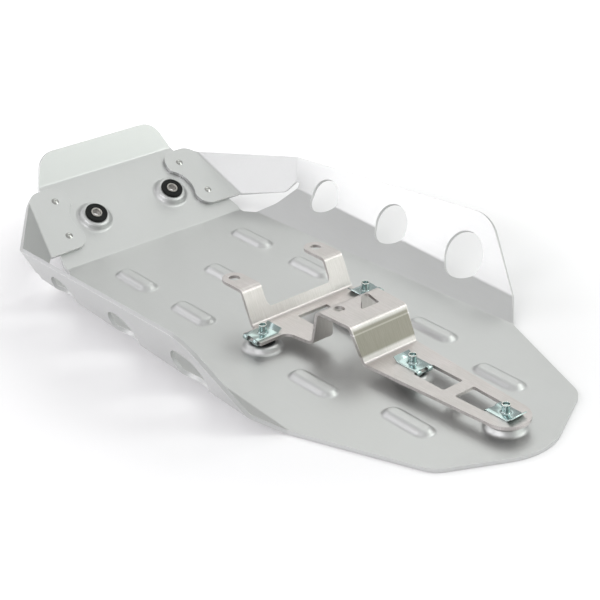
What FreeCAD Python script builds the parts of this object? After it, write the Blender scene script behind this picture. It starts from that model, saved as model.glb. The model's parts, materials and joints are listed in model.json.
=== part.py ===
import FreeCAD, Part
import math
import os
from FreeCAD import Placement, Rotation, Vector

# Engine guard: a folded sheet plate with pressed beads, and a folded steel bracket bolted to it.
# X runs across the plate, Y from the front fold to the tail, Z up from the underside of the floor.

doc = FreeCAD.newDocument("engine_guard")
sizes = doc.addObject("Spreadsheet::Sheet", "sizes")

driving_sizes = [
    # sheet of the plate
    ("sheet_thickness", 3.0),
    ("bend_radius", 4.0),
    # floor, measured from the front fold, with half widths from the middle line
    ("floor_front_half", 98.0),
    ("fold_taper", 7.0),
    ("fold_land", 5.0),
    ("floor_front_start", 13.5),
    ("floor_flare", 15.0),
    ("floor_side_end", 302.0),
    ("tail_corner_half", 73.0),
    ("tail_corner_lead", 5.0),
    ("tail_corner_radius", 20.0),
    ("tail_tip_lead", 41.0),
    ("tail_tip_radius", 55.0),
    # front wall and its lip, lengths measured up the slope
    ("wall_angle", 31.2),
    ("wall_length", 83.0),
    ("wall_taper", 22.0),
    ("lip_angle", 65.8),
    ("lip_length", 27.0),
    ("lip_taper", 11.0),
    ("lip_corner_radius", 19.0),
    # side walls: a lower stage up to the shoulder, then an upper stage
    ("side_angle", 31.3),
    ("stage_run", 18.0),
    ("shoulder_setback", 18.0),
    ("upper_angle", 66.0),
    ("upper_front_height", 25.0),
    ("upper_rear_height", 50.0),
    ("upper_rear_slant", 45.0),
    ("upper_corner_radius", 32.0),
    ("notch_width", 4.2),
    ("notch_height", 4.5),
    ("side_edge_run", 14.0),
    ("side_edge_setback", 6.5),
    ("side_edge_radius", 20.0),
    # straps from the upper walls to the tabs riveted on the front wall
    ("strap_bend_bottom", 27.3),
    ("strap_bend_lean", 7.0),
    ("strap_drop", 8.5),
    ("strap_drop_length", 16.0),
    ("strap_corner_radius", 8.0),
    ("tab_gap", 0.2),
    ("tab_fold_inset", 3.5),
    ("tab_top_gap", 14.0),
    ("tab_bend_bottom", 13.5),
    ("tab_lobe_radius", 13.4),
    ("tab_shoulder_drop", 7.5),
    ("tab_waist_clearance", 7.5),
    # rivets through the tabs, measured from the tab's fold
    ("upper_rivet_inset", 22.5),
    ("upper_rivet_drop", 5.5),
    ("lower_rivet_inset", 14.8),
    ("lower_rivet_slope", 28.0),
    ("rivet_diameter", 3.2),
    ("rivet_head_diameter", 6.2),
    ("rivet_head_height", 1.2),
    # round openings across the shoulder bend
    ("opening_front_gap", 34.5),
    ("opening_rear_gap", 57.0),
    ("opening_front_diameter", 30.0),
    ("opening_growth", 4.0),
    ("opening_front_rise", 3.5),
    ("opening_rise_step", 4.0),
    # pressed beads of the floor
    ("bead_length", 45.0),
    ("bead_width", 16.5),
    ("bead_height", 4.0),
    ("bead_draft", 3.4),
    ("bead_edge_radius", 6.5),
    ("pressed_foot_radius", 3.5),
    ("bead_pair_half", 60.0),
    ("tail_bead_half", 45.5),
    ("bead_row_front", 54.0),
    ("bead_row_middle", 93.5),
    ("bead_row_second", 129.0),
    ("third_row_lead", 38.5),
    ("tail_row_lead", 46.5),
    # pressed seats that carry the rubber mounts
    ("seat_rim", 5.5),
    ("seat_draft", 3.2),
    ("seat_height", 5.0),
    ("seat_edge_radius", 3.5),
    ("wall_mount_inset", 48.0),
    ("wall_mount_slope", 38.9),
    ("front_bolt_half", 52.0),
    ("front_bolt_reach", 202.5),
    # bolt, and the sleeve and rubber grommet round it
    ("bolt_diameter", 5.0),
    ("bolt_above_clip", 5.6),
    ("bolt_head_diameter", 12.5),
    ("bolt_head_height", 3.2),
    ("bolt_socket", 4.0),
    ("bolt_socket_depth", 2.2),
    ("bolt_tip_chamfer", 0.8),
    ("bolt_clearance", 1.6),
    ("sleeve_wall", 1.5),
    ("fit_clearance", 0.1),
    ("rubber_wall", 1.5),
    ("flange_reach", 3.0),
    ("grommet_top_flange", 2.4),
    ("grommet_bottom_flange", 1.2),
    # folded bracket: leads are measured forwards from the front bolts, the rest follows rearwards
    ("bracket_thickness", 2.5),
    ("bracket_bend_radius", 2.5),
    ("bracket_rise", 24.7),
    ("ear_half", 41.0),
    ("ear_width", 18.5),
    ("ear_hole_lead", 46.0),
    ("ear_hole_diameter", 8.5),
    ("ear_bend_lead", 26.0),
    ("bar_lead", 17.7),
    ("front_foot_lead", 13.5),
    ("wing_lead", 10.0),
    ("base_window_lead", 3.5),
    ("base_window_half", 14.5),
    ("wing_tail", 10.5),
    ("waist_front_half", 37.5),
    ("waist_corner_radius", 7.0),
    ("hat_gap", 22.5),
    ("hat_length", 35.0),
    ("hat_foot_half", 33.5),
    ("hat_front_half", 29.5),
    ("hat_rear_half", 28.0),
    ("hat_hole_half", 15.0),
    ("hat_hole_setback", 9.5),
    ("hat_hole_diameter", 8.5),
    ("hat_window_half", 14.5),
    ("hat_window_tip", 4.3),
    ("hat_window_setback", 21.0),
    ("hat_window_lean", 3.5),
    ("hat_window_front", 7.0),
    ("hat_slope_run", 14.0),
    ("rear_bolt_gap", 22.0),
    ("arm_half", 26.0),
    ("arm_end_radius", 17.8),
    ("slot_half", 9.8),
    ("slot_taper", 0.9),
    ("slot_corner_radius", 1.5),
    ("first_slot_length", 29.5),
    ("slot_bridge", 10.5),
    ("second_slot_length", 27.5),
    # spring-steel clip nuts
    ("clip_thickness", 1.0),
    ("clip_width", 15.5),
    ("clip_edge_distance", 10.5),
    ("clip_tail_length", 8.2),
    ("clip_lip_length", 5.0),
    ("clip_lip_angle", 40.0),
    ("clip_collar_wall", 0.45),
    ("clip_collar_height", 6.7),
    ("clip_collar_flare", 1.3),
    ("clip_rim_reach", 0.25),
    ("clip_rim_height", 1.4),
    ("clip_fold_window", 6.5),
    ("thread_clearance", 0.05),
]
derived_sizes = [
    # rings round the bolt, from the inside outwards
    ("clip_collar_diameter", "bolt_diameter + 2 * clip_collar_wall"),
    ("sleeve_bore", "bolt_diameter + bolt_clearance"),
    ("sleeve_diameter", "sleeve_bore + 2 * sleeve_wall"),
    ("grommet_neck", "sleeve_diameter + 2 * rubber_wall + 4 * fit_clearance"),
    ("grommet_diameter", "grommet_neck + 2 * flange_reach"),
    ("seat_diameter", "grommet_diameter + 2 * seat_rim"),
    # places along the bracket
    ("ear_hole_reach", "front_bolt_reach - ear_hole_lead"),
    ("ear_bend_reach", "front_bolt_reach - ear_bend_lead"),
    ("bar_reach", "front_bolt_reach - bar_lead"),
    ("front_foot_reach", "front_bolt_reach - front_foot_lead"),
    ("wing_front_reach", "front_bolt_reach - wing_lead"),
    ("base_window_front", "front_bolt_reach - base_window_lead"),
    ("wing_rear_reach", "front_bolt_reach + wing_tail"),
    ("hat_front_reach", "wing_rear_reach + hat_gap"),
    ("hat_hole_reach", "hat_front_reach + hat_hole_setback"),
    ("hat_window_rear", "hat_front_reach + hat_window_setback"),
    ("hat_rear_reach", "hat_front_reach + hat_length"),
    ("rear_foot_reach", "hat_rear_reach + hat_slope_run"),
    ("rear_bolt_reach", "rear_foot_reach + rear_bolt_gap"),
    ("first_slot_start", "rear_bolt_reach + clip_edge_distance"),
    ("first_slot_end", "first_slot_start + first_slot_length"),
    ("second_slot_start", "first_slot_end + slot_bridge"),
    ("second_slot_end", "second_slot_start + second_slot_length"),
    ("end_bolt_reach", "second_slot_end + clip_edge_distance"),
    ("wing_half", "front_bolt_half + clip_edge_distance"),
    # outline of the plate
    ("tail_corner_reach", "end_bolt_reach + tail_corner_lead"),
    ("tail_tip_reach", "end_bolt_reach + tail_tip_lead"),
    ("bead_row_third", "rear_bolt_reach - third_row_lead"),
    ("bead_row_tail", "end_bolt_reach - tail_row_lead"),
    ("front_fold_half", "floor_front_half - fold_taper"),
    ("floor_rear_half", "floor_front_half + floor_flare"),
    ("lip_fold_half", "front_fold_half - wall_taper"),
    ("lip_top_half", "lip_fold_half - lip_taper"),
    ("shoulder_half", "floor_rear_half + stage_run"),
    ("shoulder_start", "strap_bend_bottom + notch_width"),
    ("shoulder_end", "floor_side_end - shoulder_setback"),
    ("upper_rear_reach", "shoulder_end - upper_rear_slant"),
    ("side_edge_half", "floor_front_half + side_edge_run"),
    ("side_edge_reach", "shoulder_start - side_edge_setback"),
    ("opening_front_reach", "shoulder_start + opening_front_gap"),
    ("opening_rear_reach", "shoulder_end - opening_rear_gap"),
    ("opening_pitch", "(opening_rear_reach - opening_front_reach) / 2"),
    # straps, tabs, rivets and mounts of the front wall
    ("strap_bend_top", "strap_bend_bottom - strap_bend_lean"),
    ("tab_bend_half", "front_fold_half - tab_fold_inset"),
    ("tab_bend_top", "wall_length - tab_top_gap"),
    ("tab_shoulder_half", "tab_bend_half - tab_shoulder_drop"),
    ("upper_rivet_half", "tab_bend_half - upper_rivet_inset"),
    ("upper_rivet_slope", "tab_bend_top - upper_rivet_drop"),
    ("lower_rivet_half", "tab_bend_half - lower_rivet_inset"),
    ("wall_mount_half", "tab_bend_half - wall_mount_inset"),
]
cells = [(alias, str(value)) for alias, value in driving_sizes]
cells += [(alias, "=" + formula) for alias, formula in derived_sizes]
for row, (alias, content) in enumerate(cells, start=1):
    sizes.set(f"A{row}", alias)
    sizes.set(f"B{row}", content)
    sizes.setAlias(f"B{row}", alias)
    doc.recompute()


def size(alias):
    return float(getattr(sizes, alias))


def angle(alias):
    return math.radians(size(alias))


def mirrored(point):
    return Vector(-point.x, point.y, point.z)


# Outlines with rounded corners


def outline_sides(points, radii):
    # gives, for each corner, its arc (or None) and the straight edge that follows it
    count = len(points)
    arcs, arrivals, departures = [], [], []
    for index, corner in enumerate(points):
        back = (points[index - 1] - corner).normalize()
        ahead = (points[(index + 1) % count] - corner).normalize()
        radius = radii.get(index, 0)
        if radius == 0:
            arcs.append(None)
            arrivals.append(corner)
            departures.append(corner)
            continue
        half_turn = back.getAngle(ahead) / 2
        reach = radius / math.tan(half_turn)
        middle = corner + (back + ahead).normalize() * (radius / math.sin(half_turn) - radius)
        arrivals.append(corner + back * reach)
        departures.append(corner + ahead * reach)
        arcs.append(Part.Arc(arrivals[-1], middle, departures[-1]).toShape())
    sides = []
    for index in range(count):
        straight = Part.LineSegment(departures[index], arrivals[(index + 1) % count]).toShape()
        sides.append((arcs[index], straight))
    return sides


def outline_wire(points, radii):
    edges = []
    for arc, straight in outline_sides(points, radii):
        if arc:
            edges.append(arc)
        edges.append(straight)
    return Part.Wire(edges)


# Folded sheet: flat panels with inner and outer skins, joined at folds that are then rounded


def panel_normal(points):
    total = Vector()
    for index in range(1, len(points) - 1):
        total += (points[index] - points[0]).cross(points[index + 1] - points[0])
    return total.normalize()


def joins(edge, start, end):
    if len(edge.Vertexes) != 2:
        return False
    first, last = (vertex.Point for vertex in edge.Vertexes)
    same = first.isEqual(start, 1e-3) and last.isEqual(end, 1e-3)
    swapped = first.isEqual(end, 1e-3) and last.isEqual(start, 1e-3)
    return same or swapped


def rounded_folds(solid, folds, radius):
    edges = []
    for edge in solid.Edges:
        if any(joins(edge, start, end) for start, end in folds):
            edges.append(edge)
    if len(edges) != len(folds):
        raise RuntimeError("a fold has no edge of its own")
    return solid.makeFillet(radius, edges).Solids[0]


def folded_sheet(panels, thickness, inner_radius):
    normals = {name: panel_normal(panel["points"]) for name, panel in panels.items()}
    faces, inner_folds, outer_folds = [], [], []
    for name, panel in panels.items():
        inner = panel["points"]
        outer = [point - normals[name] * thickness for point in inner]
        for index, neighbour in panel["folds"].items():
            bisector = normals[name] + normals[neighbour]
            shift = bisector * (thickness / (1 + normals[name].dot(normals[neighbour])))
            following = (index + 1) % len(inner)
            outer[index] = inner[index] - shift
            outer[following] = inner[following] - shift
            if name < neighbour:
                inner_folds.append((inner[index], inner[following]))
                outer_folds.append((outer[index], outer[following]))
        faces.append(Part.Face(outline_wire(inner, panel["radii"])))
        faces.append(Part.Face(outline_wire(outer, panel["radii"])))
        inner_sides = outline_sides(inner, panel["radii"])
        outer_sides = outline_sides(outer, panel["radii"])
        for index, (inner_side, outer_side) in enumerate(zip(inner_sides, outer_sides)):
            if inner_side[0]:
                faces.append(Part.makeRuledSurface(inner_side[0], outer_side[0]))
            if index not in panel["folds"]:
                faces.append(Part.makeRuledSurface(inner_side[1], outer_side[1]))
    skin = Part.makeCompound(faces)
    skin.sewShape(1e-4)
    solid = Part.Solid(skin.Shells[0])
    if solid.Volume < 0:
        solid.reverse()
    solid = rounded_folds(solid, inner_folds, inner_radius)
    return rounded_folds(solid, outer_folds, inner_radius + thickness)


# Places on the plate

floor_top = size("sheet_thickness")
wall_angle = angle("wall_angle")
wall_up = Vector(0, -math.cos(wall_angle), math.sin(wall_angle))
wall_out = Vector(0, math.sin(wall_angle), math.cos(wall_angle))
tab_lift = size("sheet_thickness") + size("tab_gap")
upper_up = Vector(math.cos(angle("upper_angle")), 0, math.sin(angle("upper_angle")))


def on_floor(x, reach):
    return Vector(x, reach, floor_top)


def on_wall(x, slope, lift=0.0):
    return on_floor(x, 0) + wall_up * slope + wall_out * lift


def on_tab(x, slope):
    return on_wall(x, slope, tab_lift)


def floor_half(reach):
    share = (reach - size("floor_front_start")) / (size("floor_side_end") - size("floor_front_start"))
    return size("floor_front_half") + share * (size("floor_rear_half") - size("floor_front_half"))


def on_lower(x, reach):
    rise = (x - floor_half(reach)) * math.tan(angle("side_angle"))
    return on_floor(x, reach) + Vector(0, 0, rise)


def on_upper(reach, height):
    return on_lower(size("shoulder_half"), reach) + upper_up * height


def strap_points():
    bottom = on_upper(size("strap_bend_bottom"), size("notch_height"))
    top = on_upper(size("strap_bend_top"), size("upper_front_height"))
    tab_top = on_tab(size("tab_bend_half"), size("tab_bend_top"))
    normal = (top - bottom).cross(tab_top - bottom)
    run = normal.cross(wall_out).normalize()
    tab_bottom = tab_top + run * ((size("tab_bend_bottom") - size("tab_bend_top")) / run.dot(wall_up))
    along = (tab_bottom - bottom).normalize()
    down = (tab_bottom - tab_top).normalize()
    low = bottom + along * size("strap_drop_length") + down * size("strap_drop")
    return top, bottom, low, tab_bottom, tab_top


def tab_panel(tab_top, tab_bottom):
    # two lobes round the rivets; the waist between them is cut round the pressed seat later
    radius = size("tab_lobe_radius")
    upper_x, upper_s = size("upper_rivet_half"), size("upper_rivet_slope")
    lower_x, lower_s = size("lower_rivet_half"), size("lower_rivet_slope")
    inner_radius = 0.6 * radius
    points = [
        tab_top,
        tab_bottom,
        on_tab(lower_x - radius, lower_s - radius),
        on_tab(lower_x - radius, size("wall_mount_slope")),
        on_tab(upper_x - radius + inner_radius, size("wall_mount_slope")),
        on_tab(upper_x - radius + inner_radius, upper_s - radius),
        on_tab(upper_x - radius, upper_s - radius),
        on_tab(upper_x - radius, upper_s + radius),
        on_tab(size("tab_shoulder_half"), upper_s + radius),
    ]
    return points, {2: 0.9 * radius, 6: 0.95 * inner_radius, 7: 0.95 * radius, 8: 0.95 * radius}


def waist_cutters():
    radius = size("seat_diameter") / 2 + size("tab_waist_clearance")
    disc = Part.makeCylinder(radius, 3 * size("sheet_thickness"))
    sides = (size("wall_mount_half"), -size("wall_mount_half"))
    lift = size("tab_gap") / 2
    return [placed(disc, wall_placement(x, size("wall_mount_slope"), lift)) for x in sides]


def side_panels():
    top, bottom, low, tab_bottom, tab_top = strap_points()
    start, end = size("shoulder_start"), size("shoulder_end")
    tab, tab_radii = tab_panel(tab_top, tab_bottom)
    return {
        "lower": {
            "points": [
                on_floor(size("floor_rear_half"), size("floor_side_end")),
                on_floor(size("floor_front_half"), size("floor_front_start")),
                on_lower(size("side_edge_half"), size("side_edge_reach")),
                on_upper(start, 0),
                on_upper(end, 0),
            ],
            "radii": {2: size("side_edge_radius")},
            "folds": {0: "floor", 3: "upper"},
        },
        "upper": {
            "points": [
                on_upper(end, 0),
                on_upper(start, 0),
                on_upper(start, size("notch_height")),
                bottom,
                top,
                on_upper(size("upper_rear_reach"), size("upper_rear_height")),
            ],
            "radii": {5: size("upper_corner_radius")},
            "folds": {0: "lower", 3: "strap"},
        },
        "strap": {
            "points": [top, bottom, low, tab_bottom, tab_top],
            "radii": {2: size("strap_corner_radius")},
            "folds": {0: "upper", 3: "tab"},
        },
        "tab": {"points": tab, "radii": tab_radii, "folds": {0: "strap"}},
    }


def plate_panels():
    half, land, wall = size("front_fold_half"), size("fold_land"), size("wall_length")
    lip_angle = angle("lip_angle")
    lip_rise = Vector(0, -math.cos(lip_angle), math.sin(lip_angle)) * size("lip_length")
    right_edge = [
        on_floor(half, 0),
        on_floor(half, land),
        on_floor(size("floor_front_half"), size("floor_front_start")),
        on_floor(size("floor_rear_half"), size("floor_side_end")),
        on_floor(size("tail_corner_half"), size("tail_corner_reach")),
    ]
    tip = on_floor(0, size("tail_tip_reach"))
    corner, lip_corner = size("tail_corner_radius"), size("lip_corner_radius")
    lip_half, lip_top = size("lip_fold_half"), size("lip_top_half")
    panels = {
        "floor": {
            "points": right_edge + [tip] + [mirrored(point) for point in reversed(right_edge)],
            "radii": {4: corner, 5: size("tail_tip_radius"), 6: corner},
            "folds": {2: "lower_right", 7: "lower_left", 10: "wall"},
        },
        "wall": {
            "points": [
                on_wall(half, 0),
                on_wall(-half, 0),
                on_wall(-half, land),
                on_wall(-lip_half, wall),
                on_wall(lip_half, wall),
                on_wall(half, land),
            ],
            "radii": {},
            "folds": {0: "floor", 3: "lip"},
        },
        "lip": {
            "points": [
                on_wall(lip_half, wall),
                on_wall(-lip_half, wall),
                on_wall(-lip_top, wall) + lip_rise,
                on_wall(lip_top, wall) + lip_rise,
            ],
            "radii": {2: lip_corner, 3: lip_corner},
            "folds": {0: "wall"},
        },
    }
    for name, panel in side_panels().items():
        count = len(panel["points"])
        panels[name + "_right"] = {
            "points": panel["points"],
            "radii": panel["radii"],
            "folds": {index: side_name(other, "_right") for index, other in panel["folds"].items()},
        }
        panels[name + "_left"] = {
            "points": [mirrored(point) for point in reversed(panel["points"])],
            "radii": {count - 1 - index: radius for index, radius in panel["radii"].items()},
            "folds": {
                (count - 2 - index) % count: side_name(other, "_left")
                for index, other in panel["folds"].items()
            },
        }
    return panels


def side_name(name, side):
    return name if name == "floor" else name + side


# Pressed forms: the sheet is raised by a punch and hollowed by the same punch below


def seat_punch():
    radius, height, draft = size("seat_diameter") / 2, size("seat_height"), size("seat_draft")
    cone = Part.makeCone(radius, radius - draft, height)
    top = [edge for edge in cone.Edges if edge.CenterOfMass.z > height / 2 and edge.Closed]
    return cone.makeFillet(size("seat_edge_radius"), top)


def bead_punch():
    height, draft = size("bead_height"), size("bead_draft")
    loops = []
    for level, inset in ((0.0, 0.0), (height, draft)):
        half_width = size("bead_width") / 2 - inset
        half_run = (size("bead_length") - size("bead_width")) / 2
        rear_arc = Part.Arc(
            Vector(half_width, half_run, level),
            Vector(0, half_run + half_width, level),
            Vector(-half_width, half_run, level),
        )
        front_arc = Part.Arc(
            Vector(-half_width, -half_run, level),
            Vector(0, -half_run - half_width, level),
            Vector(half_width, -half_run, level),
        )
        left = Part.LineSegment(rear_arc.EndPoint, front_arc.StartPoint)
        right = Part.LineSegment(front_arc.EndPoint, rear_arc.StartPoint)
        loops.append(Part.Wire([part.toShape() for part in (rear_arc, left, front_arc, right)]))
    bead = Part.makeLoft(loops, True, True)
    top = [edge for edge in bead.Edges if edge.BoundBox.ZMin > height - 1e-3]
    return bead.makeFillet(size("bead_edge_radius"), top)


def wall_placement(x, slope, lift=0.0):
    return Placement(on_wall(x, slope, lift), Rotation(Vector(1, 0, 0), -size("wall_angle")))


def bead_placements():
    pair, tail = size("bead_pair_half"), size("tail_bead_half")
    rows = [
        ("bead_row_front", (-pair, pair)),
        ("bead_row_middle", (0,)),
        ("bead_row_second", (-pair, pair)),
        ("bead_row_third", (-pair, pair)),
        ("bead_row_tail", (-tail, tail)),
    ]
    return [Placement(on_floor(x, size(row)), Rotation()) for row, places in rows for x in places]


bolt_places = {
    "front_right": (size("front_bolt_half"), size("front_bolt_reach")),
    "front_left": (-size("front_bolt_half"), size("front_bolt_reach")),
    "rear": (0.0, size("rear_bolt_reach")),
    "end": (0.0, size("end_bolt_reach")),
}
seat_placements = {}
for place, (x, reach) in bolt_places.items():
    seat_placements[place] = Placement(on_floor(x, reach), Rotation())
for place, side in (("wall_right", 1), ("wall_left", -1)):
    seat_placements[place] = wall_placement(side * size("wall_mount_half"), size("wall_mount_slope"))

rivet_placements = {}
for level in ("upper", "lower"):
    for place, side in (("right", 1), ("left", -1)):
        half, slope = size(level + "_rivet_half"), size(level + "_rivet_slope")
        rivet_placements[f"{level}_{place}"] = wall_placement(side * half, slope, tab_lift)


def placed(shape, placement, drop=0.0):
    copy = shape.copy()
    copy.Placement = placement.multiply(Placement(Vector(0, 0, -drop), Rotation()))
    return copy


def side_openings():
    # round openings, bored square to the bend that they cross
    lower = panel_normal(side_panels()["lower"]["points"])
    upper = panel_normal(side_panels()["upper"]["points"])
    axis = (lower + upper).normalize()
    depth = size("opening_front_diameter")
    cutters = []
    for index in range(3):
        reach = size("opening_front_reach") + index * size("opening_pitch")
        radius = (size("opening_front_diameter") + index * size("opening_growth")) / 2
        centre = on_upper(reach, size("opening_front_rise") + index * size("opening_rise_step"))
        for side in (1, -1):
            point = Vector(side * centre.x, centre.y, centre.z)
            bore = Vector(side * axis.x, axis.y, axis.z)
            cutters.append(Part.makeCylinder(radius, 2 * depth, point - bore * depth, bore))
    return cutters


def tile_box(half_width, half_length, low, high):
    return Part.makeBox(2 * half_width, 2 * half_length, high - low, Vector(-half_width, -half_length, low))


def rounded_feet(tile, level, half_width, half_length):
    # rounds the edges where the pressed form leaves the flat face at the given level
    feet = []
    for edge in tile.Edges:
        points = edge.discretize(5)
        flat = all(abs(point.z - level) < 1e-3 for point in points)
        if flat and all(abs(p.x) < half_width and abs(p.y) < half_length for p in points):
            feet.append(edge)
    return tile.makeFillet(size("pressed_foot_radius"), feet)


def pressed_tile(punch, width, length):
    # piece of flat sheet with one pressed form, and the space it takes in the plate
    thickness, foot = size("sheet_thickness"), size("pressed_foot_radius")
    half_width, half_length = width / 2 + foot, length / 2 + foot
    tile = tile_box(half_width + foot, half_length + foot, -thickness, 0.0)
    tile = rounded_feet(tile.fuse(punch), 0.0, half_width, half_length)
    tile = tile.cut(placed(punch, Placement(), thickness))
    tile = rounded_feet(tile, -thickness, half_width, half_length)
    gap = size("tab_gap") / 2
    return tile, tile_box(half_width + foot, half_length + foot, -thickness - gap, gap)


def guard_plate_shape():
    thickness, seat = size("sheet_thickness"), size("seat_diameter")
    plate = folded_sheet(plate_panels(), thickness, size("bend_radius"))
    seats = list(seat_placements.values())
    seat_tile, seat_space = pressed_tile(seat_punch(), seat, seat)
    bead_tile, bead_space = pressed_tile(bead_punch(), size("bead_width"), size("bead_length"))
    spaces = [placed(seat_space, placement) for placement in seats]
    spaces += [placed(bead_space, placement) for placement in bead_placements()]
    tiles = [placed(seat_tile, placement) for placement in seats]
    tiles += [placed(bead_tile, placement) for placement in bead_placements()]
    plate = plate.cut(spaces + waist_cutters()).fuse(tiles)
    neck = Part.makeCylinder(size("grommet_neck") / 2, size("seat_height") + 2 * thickness)
    cutters = [placed(neck, placement, thickness) for placement in seats]
    rivet_hole = Part.makeCylinder(size("rivet_diameter") / 2 + size("fit_clearance"), 4 * thickness)
    cutters += [placed(rivet_hole, placement, 3 * thickness) for placement in rivet_placements.values()]
    return plate.cut(cutters + side_openings()).removeSplitter()


# Sub-parts from primitives, their sizes bound to the sheet


def add_cylinder(name, radius, height, base="0"):
    cylinder = doc.addObject("Part::Cylinder", name)
    cylinder.setExpression("Radius", radius)
    cylinder.setExpression("Height", height)
    cylinder.setExpression("Placement.Base.z", base)
    return cylinder


def add_fuse(name, shapes):
    fuse = doc.addObject("Part::MultiFuse", name)
    fuse.Shapes = shapes
    return fuse


def add_cut(name, base, tool):
    cut = doc.addObject("Part::Cut", name)
    cut.Base = base
    cut.Tool = tool
    return cut


# The origin lies under the middle of the plate

plate = doc.addObject("Part::Feature", "guard_plate")
plate.Shape = guard_plate_shape()
plate_box = plate.Shape.optimalBoundingBox(False, False)
middle = (plate_box.YMin + plate_box.YMax) / 2
origin = Placement(Vector(0, -middle, 0), Rotation())
sub_parts = []


def finished(piece, placement):
    piece.Label = piece.Name
    piece.Placement = origin.multiply(placement)
    sub_parts.append(piece)


grommet_height = "(sizes.grommet_top_flange + sizes.sheet_thickness + sizes.grommet_bottom_flange)"
grommet_foot = "(-sizes.sheet_thickness - sizes.grommet_bottom_flange)"


def add_grommet(place, placement):
    # rubber ring with a groove that holds the rim of the hole; its origin is on the seat's top face
    name = "grommet_" + place
    top = add_cylinder(name + "_top", "sizes.grommet_diameter / 2", "sizes.grommet_top_flange")
    neck = add_cylinder(
        name + "_neck",
        "sizes.grommet_neck / 2 - sizes.fit_clearance",
        grommet_height,
        grommet_foot,
    )
    bottom = add_cylinder(
        name + "_bottom",
        "sizes.grommet_diameter / 2",
        "sizes.grommet_bottom_flange",
        grommet_foot,
    )
    body = add_fuse(name + "_body", [top, neck, bottom])
    bore = add_cylinder(
        name + "_bore",
        "sizes.sleeve_diameter / 2 + sizes.fit_clearance",
        grommet_height,
        grommet_foot,
    )
    finished(add_cut(name, body, bore), seat_top(placement))


def seat_top(placement):
    return placement.multiply(Placement(Vector(0, 0, size("seat_height")), Rotation()))


def add_sleeve(place, placement):
    name = "sleeve_" + place
    tube = add_cylinder(name + "_tube", "sizes.sleeve_diameter / 2", grommet_height, grommet_foot)
    bore = add_cylinder(name + "_bore", "sizes.sleeve_bore / 2", grommet_height, grommet_foot)
    finished(add_cut(name, tube, bore), seat_top(placement))


def add_bolt(place, placement):
    # low-head bolt pushed up through the sleeve; its head sits in the hollow under the seat
    name = "bolt_" + place
    stack = grommet_height + " + 2 * sizes.clip_thickness + sizes.bracket_thickness"
    reach = stack + " + sizes.bolt_above_clip - sizes.bolt_tip_chamfer"
    shank = add_cylinder(name + "_shank", "sizes.bolt_diameter / 2", reach, grommet_foot)
    tip = doc.addObject("Part::Cone", name + "_tip")
    tip.setExpression("Radius1", "sizes.bolt_diameter / 2")
    tip.setExpression("Radius2", "sizes.bolt_diameter / 2 - sizes.bolt_tip_chamfer")
    tip.setExpression("Height", "sizes.bolt_tip_chamfer")
    tip.setExpression("Placement.Base.z", grommet_foot + " + " + reach)
    head_foot = grommet_foot + " - sizes.bolt_head_height"
    head = add_cylinder(
        name + "_head",
        "sizes.bolt_head_diameter / 2",
        "sizes.bolt_head_height",
        head_foot,
    )
    socket = doc.addObject("Part::Prism", name + "_socket")
    socket.Polygon = 6
    socket.setExpression("Circumradius", "sizes.bolt_socket / sqrt(3)")
    socket.setExpression("Height", "sizes.bolt_socket_depth")
    socket.setExpression("Placement.Base.z", head_foot)
    body = add_fuse(name + "_body", [shank, tip, head])
    finished(add_cut(name, body, socket), seat_top(placement))


def add_dome(name, base, turn):
    # cap of a sphere, as wide as the rivet's head
    cap = "sizes.rivet_head_height"
    radius = f"((sizes.rivet_head_diameter / 2) ^ 2 + {cap} ^ 2) / (2 * {cap})"
    dome = doc.addObject("Part::Sphere", name)
    dome.setExpression("Radius", radius)
    dome.setExpression("Angle1", f"asin(1 - {cap} / ({radius}))")
    dome.Placement = Placement(Vector(), Rotation(Vector(1, 0, 0), turn))
    sign = "+" if turn == 0 else "-"
    dome.setExpression("Placement.Base.z", f"{base} {sign} ({cap} - {radius})")
    return dome


def add_rivet(place, placement):
    # dome-headed rivet through the tab and the wall; its origin is on the tab's inner face
    name = "rivet_" + place
    grip = "(2 * sizes.sheet_thickness + sizes.tab_gap)"
    shank = add_cylinder(name + "_shank", "sizes.rivet_diameter / 2", grip, "-" + grip)
    inner_head = add_dome(name + "_inner_head", "0", 0)
    outer_head = add_dome(name + "_outer_head", "-" + grip, 180)
    finished(add_fuse(name, [shank, inner_head, outer_head]), placement)


# Folded bracket

bracket_base = (
    floor_top
    + size("seat_height")
    + size("grommet_top_flange")
    + size("clip_thickness")
    + size("bracket_thickness")
)
bracket_top = bracket_base + size("bracket_rise")


def strip_outline(path, thickness, radius):
    # closes a bent strip whose upper face follows the path, and gives the radius of each bend
    lower = []
    for index, point in enumerate(path):
        turns = []
        if index > 0:
            turns.append((point - path[index - 1]).normalize())
        if index < len(path) - 1:
            turns.append((path[index + 1] - point).normalize())
        sides = [Vector(0, turn.z, -turn.y) for turn in turns]
        total = sides[0] + sides[-1]
        lower.append(point + total * (thickness / (1 + sides[0].dot(sides[-1]))))
    radii = {}
    count = len(path)
    for index in range(1, count - 1):
        before, after = path[index] - path[index - 1], path[index + 1] - path[index]
        bends_up = before.cross(after).x > 0
        radii[index] = radius if bends_up else radius + thickness
        radii[2 * count - 1 - index] = radius + thickness if bends_up else radius
    return path + list(reversed(lower)), radii


def add_extrusion(name, wire, direction, length):
    sketch = doc.addObject("Part::Feature", name + "_outline")
    sketch.Shape = wire
    extrusion = doc.addObject("Part::Extrusion", name)
    extrusion.Base = sketch
    extrusion.DirMode = "Custom"
    extrusion.Dir = direction
    extrusion.setExpression("LengthFwd", length)
    extrusion.Symmetric = True
    extrusion.Solid = True
    return extrusion


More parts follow.
